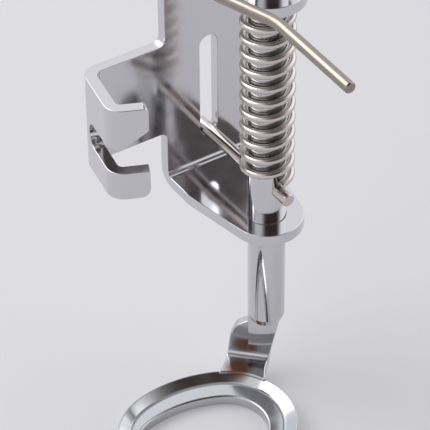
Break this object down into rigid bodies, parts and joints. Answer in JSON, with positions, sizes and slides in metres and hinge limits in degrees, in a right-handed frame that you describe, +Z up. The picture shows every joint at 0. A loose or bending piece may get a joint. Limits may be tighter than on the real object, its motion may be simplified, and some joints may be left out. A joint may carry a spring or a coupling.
{
  "type": "sewing machine presser foot",
  "caption": "Spring-loaded free-motion presser foot: folded clamp bracket, sliding rod with coil spring, wire lifting arm and a closed oval ring.",
  "frame": {"origin": "axis of the clamp screw, in the middle of the bracket's side wall, at the closed end of the screw slot", "axes": "+X to the operator's right along the bracket plate, -Y towards the operator, +Z up along the rod, away from the needle plate"},
  "size_m": [0.0328, 0.0424, 0.0706],
  "materials": {
    "chromed_sheet": "polished chrome plate",
    "chromed_rod": "ground and chromed",
    "pin_steel": "nickel plated",
    "spring_wire": "nickel plated spring wire",
    "nickel_wire": "nickel plated wire",
    "chromed_foot": "polished chrome plate"
  },
  "bodies": {
    "frame": {"bracket": "chromed_sheet", "spring": "spring_wire"},
    "plunger": {"rod": "chromed_rod", "guide_pin": "pin_steel", "lifting_arm": "nickel_wire", "ring_foot": "chromed_foot"}
  },
  "joints": [
    {"name": "rod_slide", "type": "slide", "parent": "frame", "child": "plunger", "axis": [0, 0, 1], "range_m": [0, 0.0139], "stiffness_N_per_m": 2770, "springref_m": -0.004, "deforming": ["spring"]}
  ]
}
